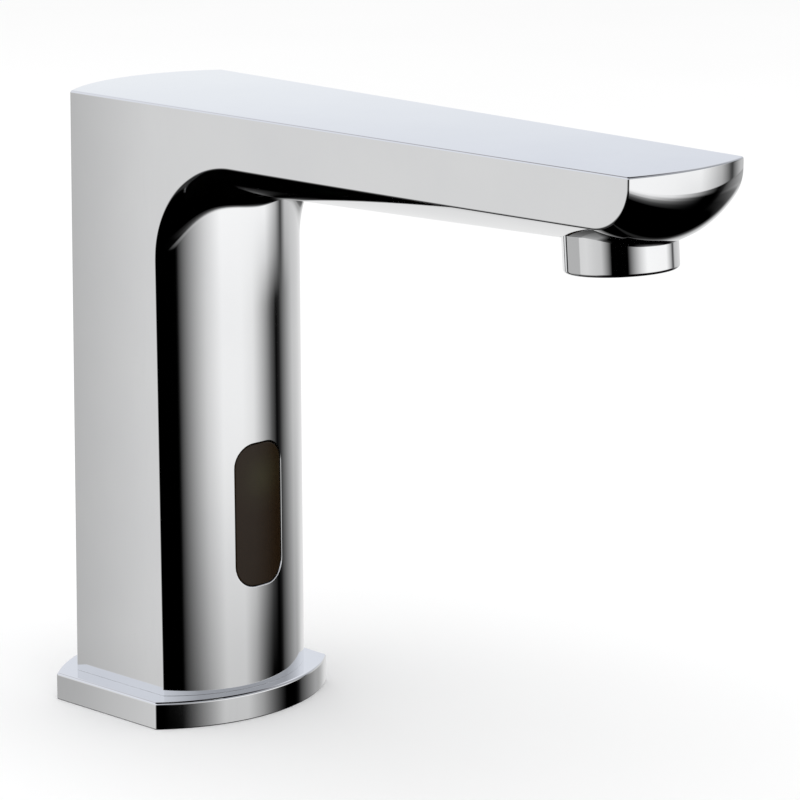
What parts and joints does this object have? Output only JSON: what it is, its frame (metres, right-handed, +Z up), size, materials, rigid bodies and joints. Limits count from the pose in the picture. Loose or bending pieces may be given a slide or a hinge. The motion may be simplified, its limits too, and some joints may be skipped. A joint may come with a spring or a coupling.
{
  "type": "sensor tap",
  "caption": "One-piece deck tap with a flat-topped spout, a presence sensor behind a dark window in the column, and an aerator under the tip.",
  "frame": {"origin": "centre of the base flange's underside, on the deck plane, on the column's axis", "axes": "+X along the spout from the column towards the tip, +Z up from the deck, +Y across"},
  "size_m": [0.1944, 0.0608, 0.155],
  "materials": {
    "chrome": "mirror-polished chrome plate",
    "seal_rubber": "black moulded rubber",
    "stainless": "bright stainless steel",
    "spring_steel": "drawn spring wire",
    "smoked_window": "dark brown infrared-clear plastic, polished",
    "black_plastic": "moulded black plastic",
    "circuit_board": "green solder resist",
    "clear_lens": "water-clear moulded lens",
    "dark_lens": "dark moulded lens",
    "cable_sheath": "black cable sheath",
    "bare_brass": "machined brass",
    "white_plastic": "white moulded plastic",
    "tube_plastic": "translucent grey tube",
    "valve_plastic": "grey glass-filled plastic",
    "copper_wire": "enamelled copper wire",
    "plated_steel": "zinc-plated steel"
  },
  "bodies": {
    "tap_body": {"body_casting": "chrome", "base_flange": "chrome", "aerator_collar": "chrome", "base_gasket": "seal_rubber", "window_gasket": "seal_rubber", "valve_diaphragm": "seal_rubber", "outlet_seals": "seal_rubber", "aerator_washer": "seal_rubber", "cable_grommet": "seal_rubber", "flange_screws": "stainless", "sensor_screws": "stainless", "cover_screws": "stainless", "valve_mount_screws": "stainless", "aerator_screen": "stainless", "inlet_filter": "stainless", "core_tube": "stainless", "check_spring": "spring_steel", "plunger_spring": "spring_steel", "sensor_window": "smoked_window", "sensor_housing": "black_plastic", "coil_terminal": "black_plastic", "sensor_board": "circuit_board", "ir_emitter": "clear_lens", "ir_receiver": "dark_lens", "sensor_cable": "cable_sheath", "coil_lead": "cable_sheath", "inlet_connector": "bare_brass", "check_guide": "white_plastic", "feed_tube": "tube_plastic", "outlet_tube": "tube_plastic", "valve_body": "valve_plastic", "valve_cover": "valve_plastic", "coil_bobbin": "white_plastic", "coil_winding": "copper_wire", "solenoid_yoke": "plated_steel", "coil_nut": "plated_steel", "aerator_insert": "white_plastic"},
    "valve_plunger": {"plunger": "stainless"},
    "check_valve": {"check_poppet": "white_plastic"}
  },
  "joints": [
    {"name": "plunger_lift", "type": "slide", "parent": "tap_body", "child": "valve_plunger", "axis": [0, 0, 1], "range_m": [0, 0.0016], "stiffness_N_per_m": 150, "springref_m": -0.004, "deforming": ["plunger_spring"]},
    {"name": "check_lift", "type": "slide", "parent": "tap_body", "child": "check_valve", "axis": [0, 0, 1], "range_m": [0, 0.0025], "stiffness_N_per_m": 60, "springref_m": -0.003, "deforming": ["check_spring"]}
  ]
}
